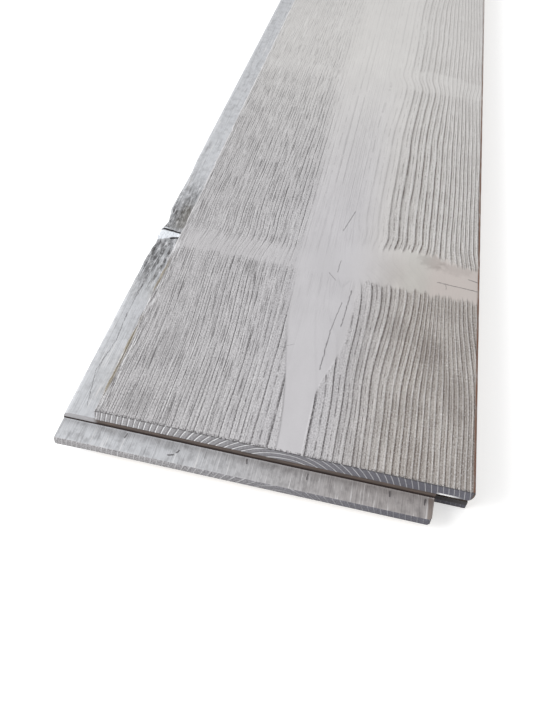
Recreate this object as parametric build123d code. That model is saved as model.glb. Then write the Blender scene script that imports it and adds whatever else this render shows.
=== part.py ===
from build123d import *
import os

# Wall panelling board: one length of solid softwood, tongued and grooved on all four edges.
# It lies flat with its face up. X runs across the width, from the side tongue to the side groove.
# Y runs along the grain, from the end tongue to the end groove. Z is the thickness, and z = 0 is the back.
# Sizes are in millimetres.

# Overall sizes
face_length = 1200.0
face_width = 133.0
thickness = 16.0

# Side tongue, on the -X edge. The upper corner of its nose is the rounder one
side_tongue_reach = 12.0
side_tongue_upper_radius = 2.4
side_tongue_lower_radius = 1.2

# Side groove, in the +X edge, and the two lips that it leaves
upper_lip_thickness = 5.0
lower_lip_thickness = 4.0
upper_lip_inner_radius = 2.2
lower_lip_inner_radius = 0.3
groove_corner_radius = 0.4

# Play of a tongue in its groove: above and below it, and past its nose at the side and at the end
joint_clearance = 0.15
side_nose_play = 0.3
end_nose_play = 0.6

# The shoulder under the side tongue stands back, so that the faces of two boards close first
lower_shoulder_setback = 0.5

# End tongue, on the -Y end. Its underside is level with the side tongue's, and it is thinner.
# A shallow relief is cut between it and the face, and its lower shoulder stands further back
end_tongue_reach = 8.8
end_tongue_thickness = 3.45
end_tongue_nose_radius = 0.7
end_relief = 0.5
end_lower_setback = 4.5

# Arrises of the face, worn rounder over the groove, and of the back
tongue_side_arris_radius = 0.6
groove_side_arris_radius = 1.6
back_arris_radius = 0.4

# Hollows that a loose edge knot left in the nose of the side tongue, as seen from above:
# (distance along the board from the face's near end, length, depth)
knot_hollows = [(121.0, 15.0, 1.5), (103.3, 8.0, 1.0)]

# How far a cutter runs past the board on each side
run_out = 5.0

# Places worked out from the sizes
side_groove_depth = side_tongue_reach + side_nose_play
end_groove_depth = end_tongue_reach + end_nose_play
overall_width = face_width + side_tongue_reach
overall_length = face_length + end_tongue_reach
nose_x = -overall_width / 2
face_left_x = nose_x + side_tongue_reach
face_right_x = overall_width / 2
groove_floor_x = face_right_x - side_groove_depth
end_nose_y = -overall_length / 2
face_near_y = end_nose_y + end_tongue_reach
face_far_y = overall_length / 2

groove_top_z = thickness - upper_lip_thickness
groove_bottom_z = lower_lip_thickness
side_tongue_top_z = groove_top_z - joint_clearance
side_tongue_bottom_z = groove_bottom_z + joint_clearance
side_tongue_thickness = side_tongue_top_z - side_tongue_bottom_z
end_tongue_bottom_z = side_tongue_bottom_z
end_tongue_top_z = end_tongue_bottom_z + end_tongue_thickness
end_groove_top_z = end_tongue_top_z + joint_clearance
end_groove_bottom_z = end_tongue_bottom_z - joint_clearance


def within_wall(radius, wall):
    """A corner radius, held to under half of the wall that carries it."""
    return min(radius, 0.45 * wall)


def rounded_outline(corners):
    """A closed face in the XZ plane from (x, z, radius) corners, where a radius of 0 stays sharp."""
    face = make_face(Polyline(*[(x, 0, z) for x, z, _ in corners], close=True))
    for x, z, radius in corners:
        if radius > 0:
            vertex = face.vertices().sort_by_distance((x, 0, z))[0]
            face = fillet(vertex, radius)
    return face


def board_section():
    """The moulded section of the board: side tongue on the left, side groove on the right."""
    lower_shoulder_x = face_left_x + lower_shoulder_setback
    nose_upper = within_wall(side_tongue_upper_radius, side_tongue_thickness)
    nose_lower = within_wall(side_tongue_lower_radius, side_tongue_thickness)
    left_arris = within_wall(tongue_side_arris_radius, upper_lip_thickness)
    right_arris = within_wall(groove_side_arris_radius, upper_lip_thickness)
    upper_lip = within_wall(upper_lip_inner_radius, upper_lip_thickness)
    lower_lip = within_wall(lower_lip_inner_radius, lower_lip_thickness)
    back_arris = within_wall(back_arris_radius, lower_lip_thickness)
    return rounded_outline([
        (face_left_x, thickness, left_arris),
        (face_right_x, thickness, right_arris),
        (face_right_x, groove_top_z, upper_lip),
        (groove_floor_x, groove_top_z, groove_corner_radius),
        (groove_floor_x, groove_bottom_z, groove_corner_radius),
        (face_right_x, groove_bottom_z, lower_lip),
        (face_right_x, 0, back_arris),
        (lower_shoulder_x, 0, back_arris),
        (lower_shoulder_x, side_tongue_bottom_z, 0),
        (nose_x, side_tongue_bottom_z, nose_lower),
        (nose_x, side_tongue_top_z, nose_upper),
        (face_left_x, side_tongue_top_z, 0),
    ])


def moulded_blank():
    """The section run through for the whole length, end tongue included."""
    near_face = Pos(0, face_far_y, 0) * board_section()
    return extrude(near_face, amount=overall_length, dir=(0, -1, 0))


def cross_cut(y_from, y_to, z_from, z_to):
    """What a cutter takes off on its way across the full width of the board."""
    width = overall_width + 2 * run_out
    centre = (0, (y_from + y_to) / 2, (z_from + z_to) / 2)
    return Pos(*centre) * Box(width, y_to - y_from, z_to - z_from)


def end_tongue_waste():
    """The cuts above and below the end tongue, and the relief over it."""
    outside_y = end_nose_y - run_out
    above = cross_cut(outside_y, face_near_y, end_tongue_top_z, thickness + run_out)
    relief = cross_cut(outside_y, face_near_y + end_relief, end_tongue_top_z, groove_top_z)
    below = cross_cut(outside_y, face_near_y + end_lower_setback, -run_out, end_tongue_bottom_z)
    return [above, relief, below]


def end_groove_waste():
    """The slot in the far end that takes the next board's end tongue."""
    groove_floor_y = face_far_y - end_groove_depth
    return cross_cut(groove_floor_y, face_far_y + run_out, end_groove_bottom_z, end_groove_top_z)


def knot_hollow(distance, length, depth):
    """A shallow scoop through the nose of the side tongue, as a disc that cuts it to the given chord."""
    radius = (length**2 / 4 + depth**2) / (2 * depth)
    centre = (nose_x + depth - radius, face_near_y + distance, thickness / 2)
    return Pos(*centre) * Cylinder(radius, thickness)


def end_nose_edges(board):
    """The two long edges at the tip of the end tongue."""
    across = board.edges().filter_by(Axis.X)
    return across.filter_by_position(Axis.Y, end_nose_y - 0.01, end_nose_y + 0.01)


def panelling_board():
    board = moulded_blank()
    for waste in end_tongue_waste():
        board -= waste
    board -= end_groove_waste()
    board = fillet(end_nose_edges(board), within_wall(end_tongue_nose_radius, end_tongue_thickness))
    for hollow in knot_hollows:
        board -= knot_hollow(*hollow)
    return board


os.makedirs("parts", exist_ok=True)
export_step(panelling_board(), "parts/panelling_board.step")
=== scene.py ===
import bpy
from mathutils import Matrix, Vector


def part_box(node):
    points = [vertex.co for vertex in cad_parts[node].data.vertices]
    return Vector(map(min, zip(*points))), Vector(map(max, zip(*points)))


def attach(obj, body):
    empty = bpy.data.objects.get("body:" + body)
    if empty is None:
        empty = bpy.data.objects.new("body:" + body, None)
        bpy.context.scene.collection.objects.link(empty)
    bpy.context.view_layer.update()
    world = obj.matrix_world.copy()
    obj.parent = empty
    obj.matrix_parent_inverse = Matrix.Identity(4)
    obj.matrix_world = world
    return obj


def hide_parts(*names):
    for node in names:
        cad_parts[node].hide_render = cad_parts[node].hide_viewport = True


bl_info = {
    "name": "Wall panelling board",
    "version": (1, 0, 0),
    "blender": (4, 5, 0),
    "location": "3D View > Sidebar > Panelling",
    "description": "Shapes a tongued and grooved softwood board and gives it a brushed, grey-washed finish",
    "category": "Object",
}

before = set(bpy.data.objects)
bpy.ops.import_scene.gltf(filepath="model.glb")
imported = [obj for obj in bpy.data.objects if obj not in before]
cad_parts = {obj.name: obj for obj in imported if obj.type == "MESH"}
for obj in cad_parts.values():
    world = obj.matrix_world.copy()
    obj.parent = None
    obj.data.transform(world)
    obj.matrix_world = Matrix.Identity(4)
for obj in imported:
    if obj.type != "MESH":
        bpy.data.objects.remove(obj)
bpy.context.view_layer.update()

import math
from types import SimpleNamespace

import bmesh
import bpy
from bpy.props import FloatProperty, FloatVectorProperty, PointerProperty
from mathutils import Matrix, Vector

NODE = "panelling_board"
NEAR, FAR = (Vector(corner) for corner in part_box(NODE))
MM = 0.001
WHITE = (1.0, 1.0, 1.0)
FLOOR_GREY = (0.8, 0.8, 0.8)

# A face looks along an axis when its normal's share of it is over this
FACING = 0.9


# Sizes and colours that a user would change

def length(name, description, default):
    return FloatProperty(name=name, description=description, default=default, unit="LENGTH", precision=5)


def number(name, description, default):
    return FloatProperty(name=name, description=description, default=default, precision=5)


def point(name, description, default):
    return FloatVectorProperty(name=name, description=description, default=default, size=3,
                               unit="LENGTH", subtype="TRANSLATION", precision=5)


def direction(name, description, default):
    return FloatVectorProperty(name=name, description=description, default=default, size=3, precision=5)


def colour(name, description, red, green, blue):
    """A colour property, its default given as it looks on a screen, from 0 to 255."""
    default = [screen_to_linear(channel / 255) for channel in (red, green, blue)]
    return FloatVectorProperty(name=name, description=description, default=default, size=3,
                               min=0.0, max=1.0, subtype="COLOR")


def screen_to_linear(value):
    return value / 12.92 if value <= 0.04045 else ((value + 0.055) / 1.055) ** 2.4


class BoardProfile(bpy.types.PropertyGroup):
    """Sizes of the moulded edges, inside the overall box that the frame gives."""
    side_tongue_reach: length("Side tongue reach", "How far the side tongue stands past the face", 12.0 * MM)
    side_groove_depth: length("Side groove depth", "How deep the side groove is cut", 12.3 * MM)
    upper_lip: length("Upper lip", "Thickness of the lip over the side groove", 5.0 * MM)
    lower_lip: length("Lower lip", "Thickness of the lip under the side groove", 4.0 * MM)
    joint_play: length("Joint play", "Play above and below a tongue in its groove", 0.15 * MM)
    lower_shoulder: length("Lower shoulder", "Set-back of the shoulder under the side tongue", 0.5 * MM)
    end_tongue_reach: length("End tongue reach", "How far the end tongue stands past the face", 8.8 * MM)
    end_tongue: length("End tongue", "Thickness of the end tongue", 3.45 * MM)
    end_relief: length("End relief", "Set-back of the band over the end tongue", 0.5 * MM)
    end_shoulder: length("End shoulder", "Set-back of the shoulder under the end tongue", 4.5 * MM)
    end_groove_depth: length("End groove depth", "How deep the end groove is cut", 9.4 * MM)
    tongue_arris: length("Tongue-side arris", "Radius of the face's arris over the tongue", 0.6 * MM)
    groove_arris: length("Groove-side arris", "Radius of the face's worn arris over the groove", 1.6 * MM)
    upper_lip_round: length("Upper lip round", "Radius of the upper lip's inner corner", 2.2 * MM)
    lower_lip_round: length("Lower lip round", "Radius of the lower lip's inner corner", 0.3 * MM)
    back_arris: length("Back arris", "Radius of the arrises of the back", 0.4 * MM)
    nose_top: length("Nose top", "Radius of the side tongue's upper corner", 2.4 * MM)
    nose_bottom: length("Nose bottom", "Radius of the side tongue's lower corner", 1.2 * MM)
    end_nose: length("End nose", "Radius of the end tongue's nose", 0.7 * MM)
    column: length("Column width", "Width of the mesh's columns across the face", 0.55 * MM)
    near_row: length("Near row", "Length of the mesh's rows at the near end", 3.3 * MM)
    far_row: length("Far row", "Length of the mesh's rows further on", 8.0 * MM)
    near_zone: length("Near zone", "How much of the board has the short rows", 460.0 * MM)
    smooth_angle: FloatProperty(name="Smooth angle", description="Corners up to this angle are shaded smooth",
                                default=math.radians(35), subtype="ANGLE")


class GrainSettings(bpy.types.PropertyGroup):
    """Where the heart of the tree lies, how wide its rings are, and how brush and wear cut the wood."""
    heart_side: number("Heart, sideways", "Pith's place across the board, mm from its middle", 7.5)
    heart_depth: number("Heart depth", "Pith's depth under the face at the near end, mm", 22.5)
    heart_fall: number("Heart fall", "How much deeper the pith lies past the first knots, mm", 12.5)
    outer_flatness: number("Outer flatness", "Height of the outer rings' curve, 1 for a circle", 0.6)
    outer_fall: number("Outer fall", "How far the outer rings move out past the first knots, mm", 3.3)
    first_ring: number("First ring", "Ring count straight above the pith", 9.623)
    tongue_rings: number("Tongue-side rings", "Rings in a millimetre on the side of the tongue", 0.449)
    groove_rings: number("Groove-side rings", "Rings in a millimetre on the side of the groove", 0.484)
    tongue_gain: number("Tongue-side gain", "Rings in a millimetre gained per millimetre outwards", 0.0011)
    groove_gain: number("Groove-side gain", "Rings in a millimetre gained per millimetre outwards", 0.0008)
    first_whorl: number("First whorl", "First ring of knots, mm from the face's near end", 106.0)
    whorl_spacing: number("Whorl spacing", "A year's growth in height, mm", 184.0)
    whorl_swell: number("Whorl swell", "How far the rings bend outwards under a ring of knots, mm", 4.0)
    brush_depth: length("Brush depth", "How deep the brush cut the soft wood of a ring", 0.07 * MM)
    tear_depth: length("Tear depth", "How rough the tongue is torn at its edge knot", 0.8 * MM)
    chip_depth: length("Chip depth", "How deep the arris over the side tongue is chipped", 0.9 * MM)
    arris_wear: length("Arris wear", "How far the arris over the side groove is worn", 0.35 * MM)
    corner_wear: length("Corner wear", "How far the near corners are worn back lengthwise", 0.5 * MM)
    tip_wear: length("Tip wear", "How far the end tongue's corner is worn back sideways", 0.7 * MM)


class FinishColours(bpy.types.PropertyGroup):
    """Colours of the wash, the stain in the brushed lines and the bare wood."""
    wash: colour("Wash", "Grey-white wash over the middle of the face", 202, 200, 203)
    tongue_side: colour("Tongue-side wash", "Wash over the side of the face by the tongue", 204, 202, 204)
    groove_side: colour("Groove-side wash", "Thinner, warmer wash by the groove", 204, 199, 194)
    far_wash: colour("Far wash", "Thicker, warmer wash further along the board", 220, 218, 216)
    # Paint on the ring ridges and pale streaks, partly used as painted highlight on the ridges
    ridge_paint_and_sheen: colour("Ridge", "Paint caught on the hard line of a ring", 222, 221, 222)
    ray: colour("Ray", "Bare white of the paint where it lies thickest", 240, 240, 242)
    stain: colour("Stain", "Grey stain held in the brushed lines", 74, 70, 72)
    warm_stain: colour("Warm stain", "Browner stain held in the lines of the groove side", 84, 70, 62)
    knot_wash: colour("Knot wash", "Pinkish wash over the knots in the face", 197, 188, 184)
    knot_rim: colour("Knot rim", "Greenish grey wash beside the knots", 193, 193, 188)
    tongue_wash: colour("Tongue wash", "Bluish wash on the tongues", 200, 202, 206)
    tongue_shade: colour("Tongue shade", "Thinner wash at the groove side of the end tongue", 168, 163, 162)
    torn: colour("Torn wood", "Dark pits of the torn tongue", 70, 68, 68)
    olive_torn: colour("Olive torn wood", "Olive grey of the torn tongue past its knot", 104, 99, 88)
    stub: colour("Knot stub", "Bluish white of the edge knot's stub", 236, 240, 246)
    crack: colour("Crack", "Open cracks", 22, 20, 22)
    bare: colour("Bare wood", "Unwashed wood of the end shoulder", 116, 101, 92)
    # Painted shade: the darkening in the corner at the foot of the end shoulder and at the back of the side
    # groove
    painted_corner_shade: colour("Corner shade", "Dark line at the foot of the end shoulder", 42, 30, 26)
    worn: colour("Worn arris", "Wood that shows where the groove-side arris is worn", 132, 92, 70)
    olive: colour("Raw arris", "Raw wood along the tongue-side arris", 140, 128, 100)
    end_paint: colour("End paint", "Grey paint on the end grain by the tongue", 180, 178, 180)
    end_groove_side: colour("End groove side", "Bluish grey of the end grain by the groove", 104, 104, 114)
    groove: colour("Groove", "Pale wood inside the grooves and on the back", 190, 172, 146)
    groove_grain: colour("Groove grain", "Late wood inside the grooves and on the back", 150, 122, 92)


class StageSettings(bpy.types.PropertyGroup):
    """The floor, the camera's place and the studio light."""
    floor_size: length("Floor size", "Side of the square floor", 12.0)
    floor_gap: length("Floor gap", "How far the floor lies under the board", 0.2 * MM)
    floor_glow: number("Floor glow", "Light that the floor sends to the camera alone", 0.5)
    camera_place: point("Camera", "The camera's place", (0.01678, -0.74940, 0.22027))
    looking: direction("Looking", "The way that the camera looks", (-0.08024, 0.68544, -0.72369))
    upwards: direction("Upwards", "The way that is up in the picture", (-0.20268, 0.69965, 0.68514))
    lens: number("Lens", "Focal length in millimetres on a 36 mm sensor", 37.29)
    nearest: length("Nearest", "What is nearer to the camera than this isn't drawn", 10.0 * MM)
    sky: number("Sky", "Strength of the even light from all round", 0.58)
    key: number("Key", "Power of the large soft lamp, watts", 24.0)
    key_size: length("Key size", "Side of the large soft lamp", 0.9)
    key_place: point("Key place", "The lamp's place", (-1.25, -1.15, 0.85))
    key_aim: point("Key aim", "The place that the lamp looks at", (0.0, -0.4, 0.0))


# Modelling helpers

def edit(piece):
    """Makes a piece the only one selected, and opens it in edit mode."""
    bpy.ops.object.select_all(action="DESELECT")
    piece.select_set(True)
    bpy.context.view_layer.objects.active = piece
    bpy.ops.object.mode_set(mode="EDIT")


def choose(piece, kind, test):
    """Selects the faces or edges whose middle and direction pass a test."""
    bpy.ops.mesh.select_mode(type=kind)
    bpy.ops.mesh.select_all(action="DESELECT")
    mesh = bmesh.from_edit_mesh(piece.data)
    if kind == "FACE":
        for face in mesh.faces:
            face.select_set(test(face.calc_center_median(), face.normal))
    else:
        for side in mesh.edges:
            start, end = (vert.co for vert in side.verts)
            side.select_set(test((start + end) / 2, end - start))
    bmesh.update_edit_mesh(piece.data)


def near_to(value, wanted, slack=1e-5):
    return abs(value - wanted) < slack


def slice_through(place, normal):
    """Cuts all that is selected along a plane."""
    bpy.ops.mesh.bisect(plane_co=place, plane_no=normal)


def pull(x=0.0, y=0.0):
    """Extrudes the selected faces by a distance."""
    bpy.ops.mesh.extrude_region_move(TRANSFORM_OT_translate={"value": (x, y, 0.0)})


def round_edges(radius, segments):
    bpy.ops.mesh.bevel(offset_type="OFFSET", offset=radius, segments=segments, profile=0.5,
                       affect="EDGES", clamp_overlap=False)


# The moulded board

class Levels:
    """Heights and places of the moulding, from the frame's box and the profile's sizes."""

    def __init__(self, profile):
        self.face = FAR.z
        self.groove_top = self.face - profile.upper_lip
        self.groove_floor = profile.lower_lip
        self.tongue_top = self.groove_top - profile.joint_play
        self.tongue_bottom = self.groove_floor + profile.joint_play
        self.end_tongue_top = self.tongue_bottom + profile.end_tongue
        self.end_groove_top = self.end_tongue_top + profile.joint_play
        self.nose = NEAR.x
        self.left = self.nose + profile.side_tongue_reach
        self.lower_left = self.left + profile.lower_shoulder
        self.groove_back = FAR.x - profile.side_groove_depth
        self.right = FAR.x
        self.tip = NEAR.y
        self.near = self.tip + profile.end_tongue_reach
        self.relief = self.near + profile.end_relief
        self.shoulder = self.near + profile.end_shoulder
        self.end_groove_back = FAR.y - profile.end_groove_depth
        self.far = FAR.y

    def in_mm(self):
        """The same places in millimetres, as the patterns of the relief and the finishes read them."""
        return SimpleNamespace(**{name: value / MM for name, value in vars(self).items()})


def core_block(at):
    """The part of the board that every cut leaves whole, sliced at the heights of the moulding."""
    low = Vector((at.lower_left, at.shoulder, NEAR.z))
    high = Vector((at.groove_back, at.end_groove_back, at.face))
    bpy.ops.mesh.primitive_cube_add(size=1.0, location=(low + high) / 2, scale=high - low)
    piece = bpy.context.object
    piece.name = "board"
    bpy.ops.object.transform_apply(location=True, rotation=True, scale=True)
    edit(piece)
    heights = (at.groove_floor, at.tongue_bottom, at.end_tongue_top,
               at.end_groove_top, at.tongue_top, at.groove_top)
    for height in heights:
        bpy.ops.mesh.select_all(action="SELECT")
        slice_through((0, 0, height), (0, 0, 1))
    return piece


def mould_long_edges(piece, at, profile):
    """Pulls the lips and the side tongue out of the block, and rounds every long arris."""
    choose(piece, "FACE", lambda middle, normal: normal.x > FACING
           and not at.groove_floor < middle.z < at.groove_top)
    pull(x=at.right - at.groove_back)
    choose(piece, "FACE", lambda middle, normal: normal.x < -FACING and middle.z > at.tongue_bottom)
    pull(x=at.left - at.lower_left)
    choose(piece, "FACE", lambda middle, normal: near_to(middle.x, at.left)
           and at.tongue_bottom < middle.z < at.tongue_top)
    pull(x=at.nose - at.left)
    # Each arris as (across, height, radius, segments)
    arrises = [
        (at.left, at.face, profile.tongue_arris, 3),
        (at.right, at.face, profile.groove_arris, 5),
        (at.right, at.groove_top, profile.upper_lip_round, 6),
        (at.right, at.groove_floor, profile.lower_lip_round, 2),
        (at.right, NEAR.z, profile.back_arris, 2),
        (at.lower_left, NEAR.z, profile.back_arris, 2),
        (at.nose, at.tongue_bottom, profile.nose_bottom, 4),
        (at.nose, at.tongue_top, profile.nose_top, 7),
    ]
    for x, z, radius, segments in arrises:
        choose(piece, "EDGE", lambda middle, run: near_to(middle.x, x) and near_to(middle.z, z)
               and near_to(run.x, 0) and near_to(run.z, 0))
        round_edges(radius, segments)


def mould_ends(piece, at, profile):
    """Pulls the lips, the relief band and the end tongue out of the ends of the block."""
    choose(piece, "FACE", lambda middle, normal: normal.y > FACING
           and not at.groove_floor < middle.z < at.end_groove_top)
    pull(y=at.far - at.end_groove_back)
    choose(piece, "FACE", lambda middle, normal: normal.y < -FACING and middle.z > at.tongue_bottom)
    pull(y=at.relief - at.shoulder)
    choose(piece, "FACE", lambda middle, normal: normal.y < -FACING and middle.z > at.groove_top)
    pull(y=at.near - at.relief)
    choose(piece, "FACE", lambda middle, normal: near_to(middle.y, at.relief) and normal.y < -FACING
           and at.tongue_bottom < middle.z < at.end_tongue_top)
    pull(y=at.tip - at.relief)
    choose(piece, "EDGE", lambda middle, run: near_to(middle.y, at.tip) and near_to(run.z, 0))
    round_edges(profile.end_nose, 3)


def divide_for_relief(piece, at, profile):
    """Cuts columns and rows where the brush and the knots shape the surface."""
    def worked(middle, normal):
        upward = normal.z > 0.5 and middle.z > at.groove_floor + MM
        near_end = middle.y < at.shoulder and middle.z > at.tongue_bottom
        return upward or near_end

    columns = int((at.right - at.nose) / profile.column)
    for index in range(1, columns):
        choose(piece, "FACE", worked)
        slice_through((at.nose + index * profile.column, 0, 0), (1, 0, 0))
    split = at.near + profile.near_zone
    bpy.ops.mesh.select_all(action="SELECT")
    slice_through((0, split, 0), (0, 1, 0))
    zones = ((at.shoulder, split, profile.near_row), (split, at.end_groove_back, profile.far_row))
    for start, end, row in zones:
        middle_y = (start + end) / 2
        choose(piece, "EDGE", lambda middle, run: near_to(middle.y, middle_y) and near_to(run.x, 0)
               and near_to(run.z, 0) and abs(run.y) > 0.9 * (end - start))
        bpy.ops.mesh.subdivide(number_cuts=int((end - start) / row) - 1)
    bpy.ops.object.mode_set(mode="OBJECT")


# Node helpers, the same for shape and finish. Places and distances in them are in millimetres

FLOAT, VECTOR, GEOMETRY = "NodeSocketFloat", "NodeSocketVector", "NodeSocketGeometry"


def new_group(kind, name, inputs, outputs):
    """An empty node group with named sockets, and the nodes that stand for its inputs and outputs."""
    tree = bpy.data.node_groups.new(name, kind)
    for label, socket in inputs:
        tree.interface.new_socket(label, in_out="INPUT", socket_type=socket)
    for label, socket in outputs:
        tree.interface.new_socket(label, in_out="OUTPUT", socket_type=socket)
    return tree, tree.nodes.new("NodeGroupInput"), tree.nodes.new("NodeGroupOutput")


def finish_group(tree, result, values):
    for value, socket in zip(values, result.inputs):
        tree.links.new(value, socket)
    return tree


def put(tree, kind, inputs=None, **settings):
    """Adds a node, sets it, and joins or fills its inputs by name or number."""
    node = tree.nodes.new(kind)
    for name, value in settings.items():
        setattr(node, name, value)
    for key, value in (inputs or {}).items():
        if isinstance(value, bpy.types.NodeSocket):
            tree.links.new(value, node.inputs[key])
        else:
            node.inputs[key].default_value = value
    return node


def calc(tree, operation, *values):
    """One step of arithmetic on sockets and numbers."""
    return put(tree, "ShaderNodeMath", dict(enumerate(values)), operation=operation).outputs[0]


def vectors(tree, operation, *values, gives="Vector"):
    """One step of arithmetic on vectors, which gives a vector or a value."""
    node = put(tree, "ShaderNodeVectorMath", dict(enumerate(values)), operation=operation)
    return node.outputs[gives]


def scaled(tree, vector, factor):
    return put(tree, "ShaderNodeVectorMath", {0: vector, 3: factor}, operation="SCALE").outputs[0]


def add(tree, *values):
    total = values[0]
    for value in values[1:]:
        total = calc(tree, "ADD", total, value)
    return total


def times(tree, *values):
    total = values[0]
    for value in values[1:]:
        total = calc(tree, "MULTIPLY", total, value)
    return total


def fade(tree, value, start, end, low=0.0, high=1.0):
    """A smooth change from low to high as a value goes from start to end, each a number or a socket."""
    return put(tree, "ShaderNodeMapRange", {0: value, 1: start, 2: end, 3: low, 4: high},
               interpolation_type="SMOOTHSTEP").outputs[0]


def ramp(tree, value, start, end, low=0.0, high=1.0):
    """The same fade from one number to another, in either direction."""
    if start > end:
        start, end, low, high = end, start, high, low
    return fade(tree, value, start, end, low, high)


def between(tree, mask, low, high):
    """Goes from low where a mask is 0 to high where it is 1."""
    return fade(tree, mask, 0.0, 1.0, low, high)


def band(tree, value, start, full, still_full, end):
    """Rises from 0 to 1 between the first two values and falls back between the last two."""
    return times(tree, ramp(tree, value, start, full), ramp(tree, value, end, still_full))


def blend(tree, factor, first, second):
    """Goes from the first colour to the second with a factor."""
    colours = [value if isinstance(value, bpy.types.NodeSocket) else (*value, 1.0)
               for value in (first, second)]
    return put(tree, "ShaderNodeMix", {0: factor, 6: colours[0], 7: colours[1]}, data_type="RGBA").outputs[2]


def join(tree, x, y, z=0.0):
    return put(tree, "ShaderNodeCombineXYZ", {0: x, 1: y, 2: z}).outputs[0]


def part(tree, vector):
    return put(tree, "ShaderNodeSeparateXYZ", {0: vector}).outputs


def noise(tree, place, scale=1.0, detail=2.0, roughness=0.5):
    """Smooth noise from about 0.2 to 0.8, with a mean of a half."""
    return put(tree, "ShaderNodeTexNoise", {"Vector": place, "Scale": scale, "Detail": detail,
                                            "Roughness": roughness}).outputs[0]


def streaks(tree, across, along, narrow, short, seed=0.0, detail=3.0, roughness=0.5):
    """Noise drawn out along the grain: narrow and short are its waves in a millimetre each way."""
    place = join(tree, times(tree, across, narrow), times(tree, along, short), seed)
    return noise(tree, place, 1.0, detail, roughness)


def use_group(tree, group, place):
    kind = "GeometryNodeGroup" if tree.bl_idname == "GeometryNodeTree" else "ShaderNodeGroup"
    node = put(tree, kind, {}, node_tree=group)
    tree.links.new(place, node.inputs[0])
    return node.outputs


def growth_rings(kind, at, grain):
    """The tree's rings around its pith, bent where branches left it."""
    name = "growth_rings_" + ("shape" if kind == "GeometryNodeTree" else "finish")
    known = bpy.data.node_groups.get(name)
    if known:
        return known
    labels = ("Ring", "Number", "Gap", "Across", "Steepness", "Whorl", "Groove side")
    tree, given, result = new_group(kind, name, [("Place", VECTOR)], [(label, FLOAT) for label in labels])
    x, y, z = part(tree, given.outputs[0])
    mm = at.in_mm()
    along = add(tree, y, -mm.near)
    sideways = add(tree, x, -grain.heart_side)
    out = calc(tree, "ABSOLUTE", sideways)

    # Distance outwards from the pith, which lies deeper past the first knots
    settled = ramp(tree, along, 20.0, 150.0, 0.0, grain.outer_fall)
    sunk = ramp(tree, along, 20.0, 150.0, 0.0, grain.heart_fall)
    sunk_more = times(tree, ramp(tree, sideways, -6.0, 8.0), calc(tree, "SUBTRACT", sunk, settled))
    rise = add(tree, z, add(tree, settled, sunk_more), grain.heart_depth - mm.face)
    flat = ramp(tree, out, 15.0, 55.0, 1.0, grain.outer_flatness)
    radius = calc(tree, "SQRT", add(tree, times(tree, sideways, sideways), times(tree, rise, rise, flat)))
    steepness = calc(tree, "DIVIDE", out, radius)
    beyond = calc(tree, "SUBTRACT", radius, add(tree, settled, grain.heart_depth))
    groove_side = ramp(tree, sideways, -6.0, 6.0)

    # The rings bend outwards under a ring of knots, inwards just above it, and at the edge towards the knot
    spacing = grain.whorl_spacing
    turns = calc(tree, "DIVIDE", add(tree, along, spacing / 2 - grain.first_whorl), spacing)
    from_whorl = calc(tree, "MULTIPLY_ADD", calc(tree, "FRACT", turns), spacing, -spacing / 2)
    swell = add(tree, ramp(tree, from_whorl, -72.0, -9.0), ramp(tree, from_whorl, -8.0, 9.0, 0.0, -1.3),
                ramp(tree, from_whorl, 12.0, 27.0, 0.0, 0.3))
    swell = times(tree, swell, ramp(tree, along, 150.0, 230.0, 1.0, 0.25))
    to_groove = times(tree, ramp(tree, sideways, 3.0, 15.0), ramp(tree, sideways, 37.0, 58.0, 1.0, -0.9))
    reach = add(tree, to_groove, ramp(tree, sideways, -12.0, -32.0, 0.0, 0.35))
    waver = add(tree, streaks(tree, radius, along, 0.1, 0.015, groove_side, detail=2.0), -0.5)
    across = add(tree, beyond, times(tree, swell, reach, -grain.whorl_swell),
                 times(tree, waver, ramp(tree, steepness, 0.3, 0.8, 0.5, 1.6)))

    # The count of rings on the way out, and how fast it grows
    rings = between(tree, groove_side, grain.tongue_rings, grain.groove_rings)
    gain = between(tree, groove_side, grain.tongue_gain, grain.groove_gain)
    count = add(tree, times(tree, across, calc(tree, "MULTIPLY_ADD", across, gain, rings)), grain.first_ring)
    ring = calc(tree, "FRACT", count)
    ring_number = calc(tree, "FLOOR", count)
    pace = calc(tree, "MULTIPLY_ADD", across, times(tree, gain, 2.0), rings)
    gap = calc(tree, "DIVIDE", ring, pace)

    # The band of wood around each ring of knots, with a torn edge
    torn_edge = streaks(tree, x, along, 0.5, 0.1, detail=2.0)
    level = calc(tree, "MULTIPLY_ADD", torn_edge, 9.0, from_whorl)
    top = add(tree, ramp(tree, sideways, -20.0, 35.0, 9.5, 23.0), ramp(tree, sideways, 38.0, 62.0, 0.0, -6.0))
    softness = ramp(tree, sideways, 5.0, 35.0, 8.0, 2.0)
    over_top = calc(tree, "DIVIDE", calc(tree, "SUBTRACT", level, top), softness)
    whorl = times(tree, ramp(tree, level, -7.0, -2.5), ramp(tree, over_top, 1.0, -1.0),
                  ramp(tree, along, 180.0, 250.0, 1.0, 0.45))
    return finish_group(tree, result, (ring, ring_number, gap, across, steepness, whorl, groove_side))


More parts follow.
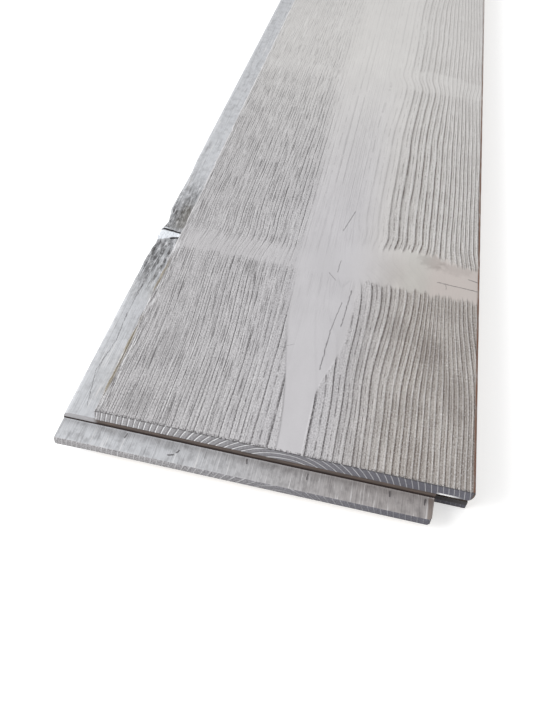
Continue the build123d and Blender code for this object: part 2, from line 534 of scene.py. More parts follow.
def brushed_fibres():
    """Fibres, specks and broad patches that run along the grain."""
    known = bpy.data.node_groups.get("brushed_fibres")
    if known:
        return known
    outputs = [(label, FLOAT) for label in ("Fibre", "Hair", "Dash", "Grit", "Patch")]
    tree, given, result = new_group("ShaderNodeTree", "brushed_fibres", [("Place", VECTOR)], outputs)
    across, along, seed = part(tree, given.outputs[0])
    fibre = streaks(tree, across, along, 2.2, 0.02, seed, detail=2.0, roughness=0.65)
    hair = streaks(tree, across, along, 4.8, 0.05, seed, detail=2.0, roughness=0.65)
    dash = streaks(tree, across, along, 3.2, 0.05, add(tree, seed, 17.0), detail=1.0, roughness=0.7)
    grit = streaks(tree, across, along, 2.2, 1.1, seed, detail=2.0, roughness=0.75)
    patch = streaks(tree, across, along, 0.07, 0.03, seed, roughness=0.55)
    return finish_group(tree, result, (fibre, hair, ramp(tree, dash, 0.60, 0.68), grit, patch))


def crack_line():
    """A mask along a straight crack between two places across and along the board."""
    known = bpy.data.node_groups.get("crack_line")
    if known:
        return known
    inputs = [("Place", VECTOR), ("Start", VECTOR), ("End", VECTOR), ("Width", FLOAT)]
    tree, given, result = new_group("ShaderNodeTree", "crack_line", inputs, [("Crack", FLOAT)])
    place, start, end, width = given.outputs[:4]
    shake = put(tree, "ShaderNodeTexNoise", {"Vector": place, "Scale": 0.5, "Detail": 2.0}).outputs["Color"]
    shake = vectors(tree, "SUBTRACT", shake, (0.5, 0.5, 0.5))
    place = vectors(tree, "MULTIPLY_ADD", shake, (0.9, 0.9, 0.0), place)
    run = vectors(tree, "SUBTRACT", end, start)
    offset = vectors(tree, "SUBTRACT", place, start)
    along = vectors(tree, "DOT_PRODUCT", offset, run, gives="Value")
    square = vectors(tree, "DOT_PRODUCT", run, run, gives="Value")
    share = put(tree, "ShaderNodeClamp", {0: calc(tree, "DIVIDE", along, square)}).outputs[0]
    away = vectors(tree, "DISTANCE", offset, scaled(tree, run, share), gives="Value")
    mask = ramp(tree, calc(tree, "DIVIDE", away, width), 0.6, 0.25)
    return finish_group(tree, result, (mask,))


def soft_spot():
    """A mask over an oval patch with an uneven, soft edge."""
    known = bpy.data.node_groups.get("soft_spot")
    if known:
        return known
    inputs = [("Place", VECTOR), ("Centre", VECTOR), ("Half size", VECTOR)]
    tree, given, result = new_group("ShaderNodeTree", "soft_spot", inputs, [("Spot", FLOAT)])
    place, centre, half = given.outputs[:3]
    offset = vectors(tree, "DIVIDE", vectors(tree, "SUBTRACT", place, centre), half)
    away = vectors(tree, "LENGTH", offset, gives="Value")
    edge = noise(tree, place, 0.35, detail=3.0, roughness=0.6)
    mask = ramp(tree, calc(tree, "MULTIPLY_ADD", edge, 1.6, away), 2.0, 1.2)
    return finish_group(tree, result, (mask,))


def spot(tree, x, along, centre, half):
    """Adds one soft patch at an (across, along) place."""
    node = put(tree, "ShaderNodeGroup", {}, node_tree=soft_spot())
    tree.links.new(join(tree, x, along), node.inputs["Place"])
    node.inputs["Centre"].default_value = (*centre, 0.0)
    node.inputs["Half size"].default_value = (*half, 1.0)
    return node.outputs[0]


def crack(tree, x, along, start, end, width):
    """Adds one crack between two (across, along) places."""
    node = put(tree, "ShaderNodeGroup", {}, node_tree=crack_line())
    tree.links.new(join(tree, x, along), node.inputs["Place"])
    node.inputs["Start"].default_value = (*start, 0.0)
    node.inputs["End"].default_value = (*end, 0.0)
    node.inputs["Width"].default_value = width
    return node.outputs[0]


def cracks(tree, x, along, lines):
    """The darkest of several cracks."""
    found = None
    for start, end, width in lines:
        one = crack(tree, x, along, start, end, width)
        found = one if found is None else calc(tree, "MAXIMUM", found, one)
    return found


# Single marks on the board. Places are in millimetres: across from the board's middle, and along from
# the near end of its face

# The stub of the edge knot in the side tongue, along
STUB = 110.0

# Hollows in the nose of the side tongue: (along, half length, depth)
HOLLOWS = (
    (121.0, 8.5, 1.5),
    (103.3, 4.6, 1.0),
    (160.0, 16.0, 0.5),
)

# Darker patches of the face: ((across, along), (half width, half length), strength)
FACE_STAINS = (
    ((51.0, 119.5), (6.5, 6.0), 0.24),
    ((62.0, 117.0), (10.0, 4.5), 0.14),
    ((-25.4, 91.0), (3.5, 6.0), 0.24),
    ((53.0, 64.0), (6.0, 13.0), 0.25),
    ((64.0, 40.0), (6.0, 14.0), 0.22),
    ((39.0, 71.0), (5.0, 9.0), 0.2),
    ((-47.0, 9.0), (6.0, 9.0), 0.16),
    ((-45.0, 38.0), (6.0, 12.0), 0.16),
)

# Lines, each as (start, end, width): the knot's cracks and the scratches beside the heart
FACE_CRACKS = (
    ((54.0, 106.0), (71.6, 104.9), 0.6),
    ((67.3, 111.8), (72.1, 110.8), 0.6),
    ((57.6, 102.2), (57.6, 106.0), 0.3),
    ((9.4, 129.8), (12.9, 146.4), 0.45),
    ((17.2, 66.5), (18.5, 89.5), 0.5),
    ((11.0, 100.0), (11.5, 108.0), 0.35),
    ((7.5, 98.5), (11.0, 94.0), 0.35),
    ((12.6, 41.0), (13.4, 63.0), 0.5),
    ((13.4, 63.0), (15.5, 81.0), 0.4),
    ((-5.5, 47.8), (0.9, 51.6), 0.16),
)

# Dark flecks on the end tongue
END_FLECKS = (
    ((-32.3, -5.8), (-30.6, -5.2), 0.9),
    ((-29.7, -3.9), (-29.2, -3.0), 0.7),
    ((-5.2, -1.9), (-5.4, -0.2), 0.7),
    ((44.9, -2.6), (45.0, -0.8), 0.7),
    ((16.2, -3.4), (16.4, -1.0), 0.6),
    ((-49.0, -2.5), (-48.8, -0.6), 0.6),
    ((57.0, -3.0), (57.1, -0.8), 0.7),
)

# One long wandering split in the side tongue
TONGUE_SPLIT = (
    ((-65.5, 5.5), (-68.6, 22.2), 0.3),
    ((-68.6, 22.2), (-66.8, 39.5), 0.35),
    ((-66.8, 39.5), (-67.7, 52.7), 0.4),
    ((-67.7, 52.7), (-67.5, 84.0), 0.6),
)

# Washed slivers left standing in the torn wood
TORN_SLIVERS = (
    ((-67.4, 56.0), (-64.4, 101.0), 1.6),
    ((-64.2, 60.0), (-61.8, 104.0), 1.3),
)

# Open cracks around the stub of the edge knot
STUB_CRACKS = (
    ((-71.5, 113.2), (-66.5, 112.6), 1.6),
    ((-66.5, 112.6), (-62.0, 111.9), 1.0),
    ((-65.4, 107.0), (-61.8, 108.6), 1.1),
)


# Relief

def brush_relief(piece, at, grain):
    """Sinks the soft wood of each ring, hollows and tears the tongue at its knot, and wears the arrises."""
    geometry = [("Geometry", GEOMETRY)]
    tree, given, result = new_group("GeometryNodeTree", "brushed_relief", geometry, geometry)
    place = scaled(tree, put(tree, "GeometryNodeInputPosition").outputs[0], 1 / MM)
    x, y, z = part(tree, place)
    field = use_group(tree, growth_rings("GeometryNodeTree", at, grain), place)
    mm = at.in_mm()
    along = add(tree, y, -mm.near)

    # Brushed rings on the face, deeper towards the groove side
    on_face = ramp(tree, z, mm.face - 0.5, mm.face - 0.1)
    soft = times(tree, ramp(tree, field["Ring"], 0.0, 0.12), ramp(tree, field["Ring"], 0.9, 0.35))
    calm = times(tree, between(tree, field["Whorl"], 1.0, 0.1),
                 ramp(tree, field["Steepness"], 0.2, 0.6, 0.2, 1.0))
    depth = ramp(tree, x, -10.0, 40.0, 0.6, 1.0)
    sink = times(tree, soft, calm, depth, on_face, -grain.brush_depth)

    # Hollows beside the edge knot
    dips = []
    for centre, half, deep in HOLLOWS:
        offset = calc(tree, "DIVIDE", add(tree, along, -centre), half)
        dip = calc(tree, "MAXIMUM", calc(tree, "SUBTRACT", 1.0, times(tree, offset, offset)), 0.0)
        dips.append(times(tree, dip, deep * MM))
    hollow = times(tree, add(tree, *dips), ramp(tree, x, mm.left - 5.0, mm.nose))

    # Torn wood on the tongue around the knot's stub
    on_tongue = ramp(tree, x, mm.left - 0.8, mm.left - 2.0)
    stub = band(tree, along, STUB - 5.0, STUB - 3.0, STUB + 2.5, STUB + 4.5)
    torn = times(tree, band(tree, along, 60.0, 88.0, 135.0, 172.0), between(tree, stub, 1.0, 0.1))
    rough = ramp(tree, noise(tree, place, 0.7, detail=3.0, roughness=0.65), 0.38, 0.62)
    tear = times(tree, torn, rough, on_tongue, -grain.tear_depth)

    # Ragged arris over the tongue, worn arris over the groove
    ragged = noise(tree, join(tree, 0.0, times(tree, along, 0.25), z), detail=3.0, roughness=0.6)
    at_left = times(tree, ramp(tree, x, mm.left + 1.2, mm.left), ramp(tree, z, mm.tongue_top + 0.5, mm.face))
    chip = times(tree, ramp(tree, ragged, 0.42, 0.75), at_left, grain.chip_depth)
    wear = noise(tree, join(tree, 3.0, times(tree, along, 0.07)), detail=3.0)
    at_right = times(tree, ramp(tree, x, mm.right - 1.5, mm.right),
                     ramp(tree, z, mm.groove_top, mm.groove_top + 1.5))
    worn = times(tree, wear, at_right, -grain.arris_wear)

    # Rounded corners at the near end, of the face and of the end tongue
    corner = times(tree, ramp(tree, x, mm.right - 1.8, mm.right), ramp(tree, along, 1.2, 0.0),
                   ramp(tree, z, mm.groove_top - 0.5, mm.groove_top))
    tip = times(tree, ramp(tree, x, mm.groove_back - 1.4, mm.groove_back),
                ramp(tree, y, mm.tip + 1.6, mm.tip),
                ramp(tree, z, mm.end_tongue_top + 0.5, mm.end_tongue_top))

    shift_x = add(tree, chip, worn, hollow, times(tree, tip, -grain.tip_wear))
    shift_y = add(tree, times(tree, corner, grain.corner_wear), times(tree, tip, grain.corner_wear))
    shift = join(tree, shift_x, shift_y, add(tree, sink, tear))
    move = put(tree, "GeometryNodeSetPosition", {"Geometry": given.outputs[0], "Offset": shift})
    tree.links.new(move.outputs[0], result.inputs[0])

    bpy.ops.object.modifier_add(type="NODES")
    modifier = piece.modifiers[-1]
    modifier.node_group = tree
    bpy.ops.object.modifier_apply(modifier=modifier.name)


# Finishes

class Finish:
    """A material that is being built, with the places that its patterns read and its tone so far."""

    def __init__(self, name, at):
        self.material = bpy.data.materials.new(name)
        self.material.use_nodes = True
        tree = self.tree = self.material.node_tree
        tree.nodes.clear()
        self.place = scaled(tree, put(tree, "ShaderNodeTexCoord").outputs["Object"], 1 / MM)
        self.x, y, self.z = part(tree, self.place)
        self.mm = at.in_mm()
        self.along = add(tree, y, -self.mm.near)
        self.shader = put(tree, "ShaderNodeBsdfPrincipled")
        put(tree, "ShaderNodeOutputMaterial", {0: self.shader.outputs[0]})

    def start(self, factor, first, second):
        """The tone under all others, which goes from one colour to another."""
        self.tone = blend(self.tree, factor, first, second)

    def tint(self, colour, *shares):
        """Lays a colour over the tone, as thick as its shares multiplied together."""
        self.tone = blend(self.tree, times(self.tree, *shares), self.tone, colour)

    def complete(self, height, depth, roughness):
        """Joins up the tone, one roughness and a pattern of heights of a given depth."""
        self.tree.links.new(self.tone, self.shader.inputs["Base Color"])
        self.shader.inputs["Roughness"].default_value = roughness
        bump = put(self.tree, "ShaderNodeBump", {"Height": height, "Strength": 1.0, "Distance": depth})
        self.tree.links.new(bump.outputs[0], self.shader.inputs["Normal"])
        return self.material


def beside_heart(tree, x, along):
    """How open the grain is: 0 in the smooth strip over the heart of the tree, 1 on both sides of it."""
    soft_edge = add(tree, ramp(tree, along, 30.0, 140.0, 1.3, 9.0), ramp(tree, along, 150.0, 260.0, 0.0, 9.0))
    left_edge = ramp(tree, along, 0.0, 80.0, 4.5, -3.5)
    right_edge = add(tree, ramp(tree, along, 25.0, 60.0, 12.2, 18.5),
                     ramp(tree, along, 80.0, 130.0, 0.0, 5.5), ramp(tree, along, 200.0, 300.0, 0.0, -5.0))
    over_right = fade(tree, x, right_edge, add(tree, right_edge, soft_edge))
    over_left = fade(tree, times(tree, x, -1.0), times(tree, left_edge, -1.0),
                     calc(tree, "SUBTRACT", soft_edge, left_edge))
    return calc(tree, "MAXIMUM", over_right, over_left)


def washed_face(at, grain, colours):
    """Grey-white wash over brushed softwood, with stain in the brushed lines."""
    make = Finish("washed_face", at)
    tree, x, along = make.tree, make.x, make.along
    rings = use_group(tree, growth_rings("ShaderNodeTree", at, grain), make.place)
    ring, ring_number, side = rings["Ring"], rings["Number"], rings["Groove side"]
    bent = use_group(tree, brushed_fibres(), join(tree, rings["Across"], along, times(tree, side, 31.0)))
    straight = use_group(tree, brushed_fibres(), join(tree, x, along, 7.0))
    groove_side = ramp(tree, x, 12.0, 48.0)
    tongue_side = ramp(tree, x, 4.0, -28.0)
    near = ramp(tree, along, 130.0, 80.0)
    far = ramp(tree, along, 130.0, 400.0)

    # How much of the ring lines and of the fine fibres shows: little over the heart, in the knots and in
    # the thicker wash further on
    open_grain = beside_heart(tree, x, along)
    in_knots = ramp(tree, x, -10.0, 35.0, 0.38, 0.04)
    clear = times(tree, between(tree, rings["Whorl"], 1.0, in_knots), between(tree, far, 1.0, 0.4))
    lines_over_heart = add(tree, ramp(tree, along, 40.0, 110.0, 0.04, 0.12),
                           ramp(tree, along, 125.0, 210.0, 0.0, 0.2))
    lines_show = times(tree, clear, between(tree, open_grain, lines_over_heart, 1.0))
    fibres_over_heart = ramp(tree, along, 35.0, 95.0, 0.05, 0.32)
    fibres_show = times(tree, clear, between(tree, open_grain, fibres_over_heart, 1.0))

    # One ring: a thin dark line, the brushed-out soft wood, and paint on the hard wood, which is lightened
    # partly as a painted highlight on the ridge
    per_ring = streaks(tree, ring_number, along, 1.7, 0.006, side, detail=0.0)
    broken = streaks(tree, ring_number, along, 3.1, 0.035, side, roughness=0.7)
    shaken = streaks(tree, ring_number, along, 5.3, 0.6, side, detail=2.0, roughness=0.6)
    gap = calc(tree, "MULTIPLY_ADD", shaken, 0.35, calc(tree, "SUBTRACT", rings["Gap"], 0.13))
    dotted = ramp(tree, shaken, 0.36, 0.56, 0.6, 1.0)
    weight = times(tree, ramp(tree, per_ring, 0.3, 0.55, between(tree, groove_side, 0.45, 0.7), 1.0),
                   ramp(tree, broken, 0.34, 0.5, between(tree, groove_side, 0.12, 0.4), 1.0), dotted)
    thin = fade(tree, gap, between(tree, groove_side, 0.38, 0.72), 0.12)
    line = times(tree, ramp(tree, gap, -0.05, 0.03), thin, weight, lines_show)
    short = streaks(tree, ring_number, along, 2.3, 0.07, 9.0, roughness=0.75)
    second = times(tree, band(tree, ring, 0.44, 0.50, 0.53, 0.62), ramp(tree, short, 0.42, 0.56),
                   dotted, lines_show)
    valley = times(tree, ramp(tree, ring, 0.0, 0.1), ramp(tree, ring, 0.75, 0.3), lines_show)
    ridge_paint_and_sheen = times(tree, band(tree, ring, 0.68, 0.82, 0.93, 1.0), lines_show,
                  ramp(tree, broken, 0.7, 0.4, 0.3, 1.0))

    # Wash, with patches where it is thinner
    make.start(tongue_side, colours.wash, colours.tongue_side)
    make.tint(colours.groove_side, groove_side)
    make.tint(colours.far_wash, groove_side, ramp(tree, along, 105.0, 140.0), 0.95)
    make.tint(colours.far_wash, ramp(tree, along, 110.0, 340.0))
    stain = blend(tree, groove_side, colours.stain, colours.warm_stain)
    patch = ramp(tree, straight["Patch"], 0.38, 0.62)
    soak = add(tree, times(tree, patch, between(tree, far, 0.06, 0.03)), times(tree, near, 0.02),
               times(tree, near, groove_side, patch, 0.17), times(tree, near, groove_side, 0.08))
    make.tint(stain, soak)

    # Fibres: dark and pale streaks; the pale and white ones towards the tongue side and further along are
    # partly painted highlight on the brushed relief
    steep = ramp(tree, rings["Steepness"], 0.45, 0.7)
    make.tint(stain, ramp(tree, bent["Fibre"], 0.44, 0.64), lines_show, steep, 0.12)
    make.tint(stain, ramp(tree, straight["Hair"], 0.46, 0.66), fibres_show, 0.16)
    # Pale streaks, stronger towards the tongue side: partly grain, partly painted highlight
    make.tint(colours.ridge_paint_and_sheen, ramp(tree, straight["Fibre"], 0.56, 0.66), fibres_show,
              ramp(tree, x, 30.0, -20.0, 0.2, 0.7))
    make.tint(colours.ray, ramp(tree, straight["Hair"], 0.38, 0.30), fibres_show,
              between(tree, near, 1.0, 0.0), ramp(tree, x, 45.0, 20.0), 0.8)
    make.tint(stain, straight["Dash"], fibres_show, between(tree, open_grain, 1.0, 0.0),
              ramp(tree, along, 55.0, 90.0), 0.5)
    make.tint(stain, valley, groove_side, between(tree, near, 0.06, 0.16))
    # Pale paint on the hard wood of each ring, partly a painted highlight on its ridge
    make.tint(colours.ridge_paint_and_sheen, ridge_paint_and_sheen, between(tree, groove_side, 0.25, 0.4))
    make.tint(stain, line, 0.98)
    make.tint(stain, second, 0.75)
    dashes = times(tree, bent["Dash"], lines_show, steep, ramp(tree, x, 40.0, 10.0, 0.2, 0.65))
    make.tint(stain, dashes)
    make.tint(stain, ramp(tree, straight["Grit"], 0.50, 0.66), between(tree, lines_show, 0.03, 0.42))
    make.tint(colours.ridge_paint_and_sheen, ramp(tree, straight["Grit"], 0.44, 0.32), between(tree, lines_show, 0.05, 0.6))

    # Knots of the first whorl, with their stains and cracks
    knot = times(tree, rings["Whorl"], ramp(tree, along, 180.0, 150.0))
    make.tint(colours.knot_wash, knot, ramp(tree, x, 40.0, 56.0), 0.8)
    make.tint(colours.knot_rim, knot, band(tree, x, 36.0, 44.0, 47.0, 53.0), 0.4)
    make.tint(stain, knot, ramp(tree, x, 10.0, -20.0), 0.03)
    for centre, half, strength in FACE_STAINS:
        make.tint(stain, spot(tree, x, along, centre, half), strength)
    make.tint(colours.stain, cracks(tree, x, along, FACE_CRACKS),
              ramp(tree, straight["Grit"], 0.36, 0.52, 0.45, 1.0), 0.72)

    wear_face_edges(make, colours)
    height = add(tree, times(tree, valley, -0.25), times(tree, ridge_paint_and_sheen, 0.35), times(tree, line, -1.0),
                 times(tree, straight["Fibre"], lines_show, 1.2),
                 times(tree, straight["Hair"], lines_show, 1.2), times(tree, dashes, -1.0))
    return make.complete(height, depth=0.16 * MM, roughness=0.65)


def wear_face_edges(make, colours):
    """The face's arrises: torn at the near end, raw over the tongue, worn brown over the groove."""
    tree, x, along, left, right = make.tree, make.x, make.along, make.mm.left, make.mm.right
    ragged = streaks(tree, x, along, 1.5, 0.6, roughness=0.7)
    make.tint(colours.stain, ramp(tree, along, 1.0, 0.3), ramp(tree, ragged, 0.48, 0.56), 0.75)
    make.tint(colours.ridge_paint_and_sheen, ramp(tree, along, 0.7, 0.2), ramp(tree, ragged, 0.42, 0.36), 0.7)

    frayed = streaks(tree, x, along, 2.0, 0.09, 21.0, roughness=0.7)
    by_edge = times(tree, ramp(tree, x, left + 5.0, left + 2.5), ramp(tree, along, 160.0, 60.0, 0.3, 1.0))
    make.tint(colours.stain, by_edge, ramp(tree, frayed, 0.52, 0.60), 0.65)
    make.tint(colours.ray, by_edge, ramp(tree, frayed, 0.46, 0.40), 0.65)
    raw = streaks(tree, x, along, 0.8, 0.05, roughness=0.6)
    stretches = add(tree, band(tree, along, 3.0, 9.0, 40.0, 55.0), band(tree, along, 63.0, 68.0, 80.0, 90.0))
    make.tint(colours.olive, ramp(tree, x, left + 2.0, left + 0.7), ramp(tree, raw, 0.40, 0.56),
              stretches, 0.7)
    make.tint(colours.ridge_paint_and_sheen, ramp(tree, x, left + 1.1, left + 0.5), ramp(tree, along, 85.0, 105.0), 0.45)

    patchy = noise(tree, join(tree, 9.0, times(tree, along, 0.12)), detail=3.0)
    make.tint(colours.worn, ramp(tree, x, right - 1.6, right - 0.9), ramp(tree, patchy, 0.3, 0.55, 0.5, 1.0),
              ramp(tree, along, 240.0, 420.0, 1.0, 0.5))


def washed_tongue(at, colours):
    """Bluish wash over the tongues, with the torn wood and the stub of the edge knot."""
    make = Finish("washed_tongue", at)
    tree, x, along, mm = make.tree, make.x, make.along, make.mm
    on_end = ramp(tree, along, 0.3, -0.3)
    on_side = times(tree, ramp(tree, x, mm.left + 0.5, mm.left - 0.2), between(tree, on_end, 1.0, 0.0))
    fibres = use_group(tree, brushed_fibres(), join(tree, x, along, 3.0))
    make.start(ramp(tree, x, -50.0, 50.0), colours.tongue_wash, colours.tongue_shade)
    blotch = streaks(tree, x, along, 0.35, 0.25, roughness=0.6)
    make.tint(colours.stain, ramp(tree, blotch, 0.4, 0.72), between(tree, on_end, 0.22, 0.36))
    make.tint(colours.stain, ramp(tree, fibres["Fibre"], 0.45, 0.75), 0.2)
    streak = streaks(tree, x, along, 1.2, 0.05, 11.0, roughness=0.6)
    make.tint(colours.stain, ramp(tree, streak, 0.56, 0.66), 0.30)
    make.tint(colours.ridge_paint_and_sheen, ramp(tree, streak, 0.42, 0.34), 0.55)

    # The foot and the raw groove side of the end tongue, then flecks and the long split
    make.tint(colours.stain, on_end, ramp(tree, along, -4.0, 0.0),
              ramp(tree, fibres["Hair"], 0.35, 0.65), 0.5)
    make.tint(colours.bare, on_end, ramp(tree, x, mm.groove_back - 2.6, mm.groove_back - 1.6), 0.6)
    make.tint(colours.stain, cracks(tree, x, along, END_FLECKS), 0.8)
    make.tint(colours.stain, cracks(tree, x, along, TONGUE_SPLIT),
              ramp(tree, fibres["Grit"], 0.4, 0.55, 0.25, 0.75))

    # Torn wood beside the knot
    pits = streaks(tree, x, along, 0.75, 0.22, detail=4.0, roughness=0.75)
    torn = times(tree, band(tree, along, 58.0, 88.0, 122.0, 172.0), on_side)
    worst = streaks(tree, x, along, 0.12, 0.05, 2.0, detail=2.0)
    make.tint(colours.torn, torn, ramp(tree, worst, 0.35, 0.6, 0.55, 1.0),
              ramp(tree, pits, 0.40, 0.60, 0.15, 0.9))
    make.tint(colours.ridge_paint_and_sheen, torn, ramp(tree, pits, 0.43, 0.35), 0.9)
    singed = band(tree, along, STUB + 3.0, STUB + 7.0, STUB + 18.0, STUB + 32.0)
    make.tint(colours.olive_torn, on_side, singed, ramp(tree, x, -70.0, -64.0), 0.55)
    make.tint(colours.tongue_wash, cracks(tree, x, along, TORN_SLIVERS), 0.6)

    # The knot's pale stub, which narrows towards the face, with its cracks
    half_stub = ramp(tree, x, -71.5, -62.0, 5.0, 1.3)
    off_stub = calc(tree, "DIVIDE", calc(tree, "ABSOLUTE", add(tree, along, -STUB)), half_stub)
    make.tint(colours.stub, ramp(tree, off_stub, 1.05, 0.85), on_side)
    stub_cracks = cracks(tree, x, along, STUB_CRACKS)
    make.tint(colours.crack, stub_cracks)
    height = add(tree, times(tree, torn, pits, 3.0), times(tree, fibres["Fibre"], 0.5),
                 times(tree, blotch, 0.5), times(tree, stub_cracks, -2.0))
    return make.complete(height, depth=0.3 * MM, roughness=0.55)


def painted_end_grain(at, grain, colours):
    """Grey paint on the end grain, thicker on the hard line of each ring."""
    make = Finish("painted_end_grain", at)
    tree, x, z, mm = make.tree, make.x, make.z, make.mm
    ring = use_group(tree, growth_rings("ShaderNodeTree", at, grain), make.place)["Ring"]
    by_tongue = ramp(tree, x, 25.0, -25.0)
    on_tongue = ramp(tree, z, mm.end_groove_top + 1.0, mm.end_groove_top)
    patchy = noise(tree, make.place, 0.5, detail=3.0, roughness=0.6)
    mottle = noise(tree, make.place, 1.6, detail=3.0, roughness=0.65)
    wider = add(tree, ring, times(tree, by_tongue, 0.04))
    ray = times(tree, ramp(tree, wider, 0.78, 0.86), ramp(tree, ring, 0.995, 0.93),
                ramp(tree, patchy, 0.32, 0.5, 0.45, 1.0))
    # Darker and bluer towards the groove side
    make.start(ramp(tree, x, -62.0, 62.0), colours.end_paint, colours.end_groove_side)
    make.tint(colours.stain, ramp(tree, mottle, 0.4, 0.66), between(tree, on_tongue, 0.36, 0.6))
    make.tint(colours.stain, on_tongue, 0.12)
    make.tint(colours.stain, band(tree, ring, 0.0, 0.06, 0.14, 0.3), by_tongue,
              between(tree, on_tongue, 1.0, 0.0), 0.5)
    make.tint(colours.ray, ray, ramp(tree, x, -20.0, 60.0, 1.0, 0.45), between(tree, on_tongue, 1.0, 0.35))
    torn_top = noise(tree, join(tree, times(tree, x, 0.8), 4.0))
    make.tint(colours.torn, ramp(tree, z, mm.face - 0.9, mm.face - 0.4), ramp(tree, torn_top, 0.4, 0.5), 0.75)

    # A painted highlight in white along the lower edge of the lip over the groove, and the darker upper half
    # of the lip under it
    top = mm.groove_top
    lip_edge_highlight = band(tree, z, top - 0.4, top - 0.1, top + 0.6, top + 1.0)
    # Painted highlight: pure white on the lip's lower edge
    make.tint(WHITE, band(tree, x, 59.6, 61.5, 64.0, 69.5), lip_edge_highlight, ramp(tree, make.along, 10.0, 5.0))
    make.tint(colours.torn, band(tree, z, 1.7, 2.3, mm.groove_floor, mm.groove_floor + 0.3), 0.92)
    height = add(tree, times(tree, ray, 0.8), mottle)
    return make.complete(height, depth=0.2 * MM, roughness=0.7)


def bare_shoulder(at, colours):
    """Unwashed wood over the end tongue, with painted shade in the corner at its foot and paint at the side
    tongue.
    """
    make = Finish("bare_shoulder", at)
    tree, x, z, mm = make.tree, make.x, make.z, make.mm
    streak = streaks(tree, x, z, 0.12, 2.2, roughness=0.6)
    make.start(times(tree, ramp(tree, streak, 0.35, 0.65), 0.75), colours.bare, colours.torn)
    # Painted shade in the corner where the band meets the end tongue
    make.tint(colours.painted_corner_shade, ramp(tree, z, mm.end_tongue_top + 1.6, mm.end_tongue_top + 0.7))
    make.tint(colours.end_paint, ramp(tree, x, mm.left + 1.0, mm.left - 1.5),
              ramp(tree, z, mm.end_tongue_top + 0.6, mm.end_tongue_top + 1.2))
    return make.complete(streak, depth=0.12 * MM, roughness=0.8)


def plain_groove(at, grain, colours):
    """Pale milled wood in the grooves and on the back, with the rings as darker streaks."""
    make = Finish("plain_groove", at)
    tree, x, z, along = make.tree, make.x, make.z, make.along
    ring = use_group(tree, growth_rings("ShaderNodeTree", at, grain), make.place)["Ring"]
    fibres = use_group(tree, brushed_fibres(), join(tree, add(tree, x, z), along, 5.0))
    late = times(tree, ramp(tree, ring, 0.35, 0.95), ramp(tree, ring, 1.0, 0.97))
    dark = add(tree, times(tree, late, 0.6), times(tree, ramp(tree, fibres["Fibre"], 0.4, 0.7), 0.3))
    make.start(dark, colours.groove, colours.groove_grain)
    groove_back = make.mm.groove_back
    # Painted shade at the back of the side groove, near its open end
    make.tint(colours.painted_corner_shade, ramp(tree, x, groove_back - 0.5, groove_back),
              band(tree, z, 3.0, 3.8, 11.2, 12.0), ramp(tree, along, 40.0, 10.0), 0.9)
    height = add(tree, fibres["Fibre"], fibres["Hair"])
    return make.complete(height, depth=0.1 * MM, roughness=0.75)


def assign_finishes(piece, at, grain, colours):
    """Gives each moulded surface its own finish."""
    finishes = {
        "face": washed_face(at, grain, colours),
        "tongue": washed_tongue(at, colours),
        "end": painted_end_grain(at, grain, colours),
        "shoulder": bare_shoulder(at, colours),
        "groove": plain_groove(at, grain, colours),
    }
    order = list(finishes)
    for finish in finishes.values():
        piece.data.materials.append(finish)
    for face in piece.data.polygons:
        face.material_index = order.index(finish_name(face.center, face.normal, at))


def finish_name(middle, normal, at):
    """Which finish a face gets, from its middle and the way it looks."""
    slack = 0.1 * MM
    if middle.y < at.shoulder + slack and normal.y < -0.5:
        in_relief = near_to(middle.y, at.relief, 2 * slack) and middle.z > at.end_tongue_top
        return "shoulder" if in_relief else "end"
    if middle.y < at.relief and middle.z < at.end_tongue_top + slack and normal.z > -0.3:
        return "tongue"
    if middle.x < at.left - slack:
        return "tongue"
    if middle.z > at.groove_top and (normal.z > -0.2 or middle.x < at.left + MM):
        return "face"
    if normal.y > 0.5:
        return "end"
    return "groove"


class PANELLING_OT_board(bpy.types.Operator):
    """Shapes the board, brushes its grain and washes it"""
    bl_idname = "panelling.board"
    bl_label = "Panelling board"

    def execute(self, context):
        scene = context.scene
        profile, grain, colours = scene.board_profile, scene.board_grain, scene.board_colours
        bpy.ops.object.select_all(action="DESELECT")
        at = Levels(profile)
        piece = core_block(at)
        mould_long_edges(piece, at, profile)
        mould_ends(piece, at, profile)
        divide_for_relief(piece, at, profile)
        brush_relief(piece, at, grain)
        assign_finishes(piece, at, grain, colours)
        bpy.ops.object.shade_smooth_by_angle(angle=profile.smooth_angle)
        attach(piece, "root")
        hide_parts(NODE)
        return {"FINISHED"}


class PANELLING_OT_stage(bpy.types.Operator):
    """Lays a white floor and sets the camera and the soft studio light"""
    bl_idname = "panelling.stage"
    bl_label = "Stage"

    def execute(self, context):
        settings = context.scene.board_stage
        bpy.ops.mesh.primitive_plane_add(size=settings.floor_size, location=(0, 0, -settings.floor_gap))
        floor = context.object
        floor.name = "floor"
        bpy.ops.object.transform_apply(location=True)
        floor.data.materials.append(white_floor(settings))
        place_camera(context.scene, settings)
        place_light(context.scene, settings)
        return {"FINISHED"}


def white_floor(settings):
    """White to the camera, with the board's soft shadow left on it."""
    material = bpy.data.materials.new("white_floor")
    material.use_nodes = True
    tree = material.node_tree
    tree.nodes.clear()
    seen = put(tree, "ShaderNodeLightPath").outputs["Is Camera Ray"]
    cover = put(tree, "ShaderNodeBsdfDiffuse", {"Color": (*FLOOR_GREY, 1.0)})
    glow = put(tree, "ShaderNodeEmission", {"Color": (*WHITE, 1.0),
                                            "Strength": times(tree, seen, settings.floor_glow)})
    both = put(tree, "ShaderNodeAddShader", {0: cover.outputs[0], 1: glow.outputs[0]})
    put(tree, "ShaderNodeOutputMaterial", {0: both.outputs[0]})
    return material


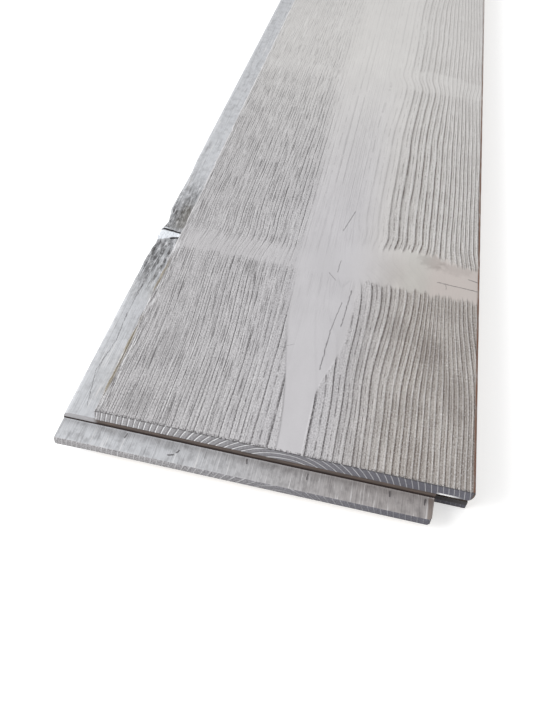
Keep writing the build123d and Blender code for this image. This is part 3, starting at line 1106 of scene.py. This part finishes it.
def place_camera(scene, settings):
    looking = Vector(settings.looking).normalized()
    rightwards = looking.cross(Vector(settings.upwards)).normalized()
    upwards = rightwards.cross(looking)
    turn = Matrix((rightwards, upwards, -looking)).transposed().to_4x4()
    camera = bpy.data.objects.new("camera", bpy.data.cameras.new("camera"))
    camera.matrix_world = Matrix.Translation(settings.camera_place) @ turn
    camera.data.lens = settings.lens
    camera.data.clip_start = settings.nearest
    scene.collection.objects.link(camera)
    scene.camera = camera


def place_light(scene, settings):
    scene.view_settings.view_transform = "Standard"
    world = bpy.data.worlds.new("studio")
    world.use_nodes = True
    sky = world.node_tree.nodes["Background"]
    sky.inputs["Color"].default_value = (*WHITE, 1.0)
    sky.inputs["Strength"].default_value = settings.sky
    scene.world = world
    lamp = bpy.data.lights.new("key", "AREA")
    lamp.energy = settings.key
    lamp.size = settings.key_size
    holder = bpy.data.objects.new("key", lamp)
    holder.location = settings.key_place
    aim = Vector(settings.key_aim) - holder.location
    holder.rotation_euler = aim.to_track_quat("-Z", "Y").to_euler()
    scene.collection.objects.link(holder)


class PANELLING_PT_panel(bpy.types.Panel):
    """Lists the steps that make the board"""
    bl_idname = "PANELLING_PT_panel"
    bl_label = "Panelling board"
    bl_space_type = "VIEW_3D"
    bl_region_type = "UI"
    bl_category = "Panelling"

    def draw(self, context):
        for step in OPERATORS:
            self.layout.operator(step.bl_idname)


SETTINGS = {
    "board_profile": BoardProfile,
    "board_grain": GrainSettings,
    "board_colours": FinishColours,
    "board_stage": StageSettings,
}
OPERATORS = (PANELLING_OT_board, PANELLING_OT_stage)


def register():
    for item in (*SETTINGS.values(), *OPERATORS, PANELLING_PT_panel):
        bpy.utils.register_class(item)
    for name, group in SETTINGS.items():
        setattr(bpy.types.Scene, name, PointerProperty(type=group))


def unregister():
    for name in SETTINGS:
        delattr(bpy.types.Scene, name)
    for item in reversed((*SETTINGS.values(), *OPERATORS, PANELLING_PT_panel)):
        bpy.utils.unregister_class(item)


def main():
    register()
    bpy.ops.panelling.board()
    bpy.ops.panelling.stage()


if __name__ == "__main__":
    main()
